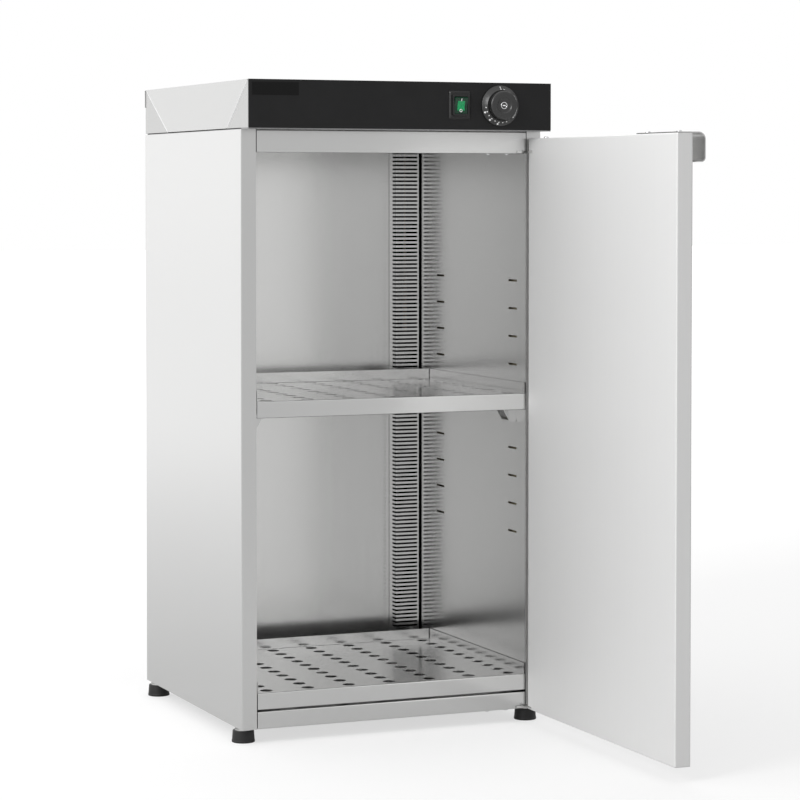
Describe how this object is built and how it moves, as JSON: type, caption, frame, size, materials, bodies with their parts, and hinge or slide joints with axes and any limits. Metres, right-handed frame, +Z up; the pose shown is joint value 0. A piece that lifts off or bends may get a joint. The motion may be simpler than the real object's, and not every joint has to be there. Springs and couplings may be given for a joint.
{
  "type": "plate warmer cabinet",
  "caption": "Free-standing heated cabinet for plates: a stainless body with a hinged door, slide-out perforated shelves, levelling feet and a control cap with switch and thermostat.",
  "frame": {"origin": "on the floor, midway between the four feet", "axes": "+Z up; the front faces -Y; +X to the right seen from the front, the door's hinge side"},
  "size_m": [0.474, 0.892, 0.907],
  "materials": {
    "stainless_outer": "fine brushed stainless steel",
    "stainless_inner": "soft satin stainless steel",
    "panel_black": "smooth satin black",
    "bezel_black": "semi-gloss black moulding",
    "rocker_green": "translucent lit green",
    "knob_black": "semi-gloss black with white dots",
    "foot_plastic": "matt black",
    "bright_steel": "bright zinc-plated steel",
    "screw_chrome": "polished",
    "nylon_black": "black nylon",
    "mineral_wool": "loose fibre slab",
    "magnet_dark": "dark sintered magnet",
    "thermostat_case": "pressed plated steel",
    "copper": "drawn copper tube",
    "element_sheath": "heat-darkened steel sheath",
    "terminal_white": "white moulding",
    "wire_sleeve": "silicone sleeve"
  },
  "bodies": {
    "cabinet": {"back_panel": "stainless_outer", "base_pan": "stainless_outer", "cable_gland": "nylon_black", "cap_cover": "stainless_outer", "cap_frame": "stainless_outer", "catch_magnet": "magnet_dark", "ceiling_liner": "stainless_inner", "control_panel": "panel_black", "duct_cover": "stainless_inner", "element_supports": "stainless_inner", "foot_nuts": "bright_steel", "header_channel": "stainless_outer", "heating_element": "element_sheath", "hinge_pins": "bright_steel", "hinge_plate_lower": "bright_steel", "hinge_plate_upper": "bright_steel", "hinge_screws": "screw_chrome", "liner_back": "stainless_inner", "liner_left": "stainless_inner", "liner_right": "stainless_inner", "panel_screws": "screw_chrome", "shelf_clip_front_left": "stainless_inner", "shelf_clip_front_right": "stainless_inner", "shelf_clip_rear_left": "stainless_inner", "shelf_clip_rear_right": "stainless_inner", "side_panel_left": "stainless_outer", "side_panel_right": "stainless_outer", "switch_bezel": "bezel_black", "switch_body": "bezel_black", "terminal_block": "terminal_white", "thermostat_body": "thermostat_case", "thermostat_capillary": "copper", "tray_rail_left": "stainless_inner", "tray_rail_right": "stainless_inner", "wall_insulation": "mineral_wool", "wiring_loom": "wire_sleeve"},
    "door": {"door_inner_pan": "stainless_outer", "door_outer_pan": "stainless_outer", "door_insulation": "mineral_wool", "hinge_block_upper": "nylon_black", "hinge_block_lower": "nylon_black", "hinge_block_screws": "screw_chrome", "door_handle": "stainless_outer", "handle_screws": "screw_chrome", "catch_strike": "bright_steel"},
    "rocker": {"switch_rocker": "rocker_green"},
    "knob": {"thermostat_knob": "knob_black", "thermostat_shaft": "bright_steel"},
    "shelf": {"middle_shelf": "stainless_inner"},
    "tray": {"bottom_tray": "stainless_inner"},
    "foot_front_left": {"foot_cup_front_left": "foot_plastic", "foot_stud_front_left": "bright_steel"},
    "foot_front_right": {"foot_cup_front_right": "foot_plastic", "foot_stud_front_right": "bright_steel"},
    "foot_rear_left": {"foot_cup_rear_left": "foot_plastic", "foot_stud_rear_left": "bright_steel"},
    "foot_rear_right": {"foot_cup_rear_right": "foot_plastic", "foot_stud_rear_right": "bright_steel"}
  },
  "joints": [
    {"name": "door_swing", "type": "hinge", "parent": "cabinet", "child": "door", "pos_m": [0.213, -0.228, 0.4], "axis": [0, 0, 1], "range_deg": [-90, 20]},
    {"name": "rocker_tilt", "type": "hinge", "parent": "cabinet", "child": "rocker", "pos_m": [0.0851, -0.2495, 0.875], "axis": [-1, 0, 0], "range_deg": [0, 20]},
    {"name": "knob_turn", "type": "hinge", "parent": "cabinet", "child": "knob", "pos_m": [0.146, -0.25, 0.875], "axis": [0, 1, 0], "range_deg": [0, 270]},
    {"name": "shelf_slide", "type": "slide", "parent": "cabinet", "child": "shelf", "axis": [0, -1, 0], "range_m": [0, 0.34]},
    {"name": "tray_slide", "type": "slide", "parent": "cabinet", "child": "tray", "axis": [0, -1, 0], "range_m": [0, 0.34]},
    {"name": "foot_front_left_height", "type": "slide", "parent": "cabinet", "child": "foot_front_left", "axis": [0, 0, -1], "range_m": [0, 0.012]},
    {"name": "foot_front_right_height", "type": "slide", "parent": "cabinet", "child": "foot_front_right", "axis": [0, 0, -1], "range_m": [0, 0.012]},
    {"name": "foot_rear_left_height", "type": "slide", "parent": "cabinet", "child": "foot_rear_left", "axis": [0, 0, -1], "range_m": [0, 0.012]},
    {"name": "foot_rear_right_height", "type": "slide", "parent": "cabinet", "child": "foot_rear_right", "axis": [0, 0, -1], "range_m": [0, 0.012]}
  ]
}
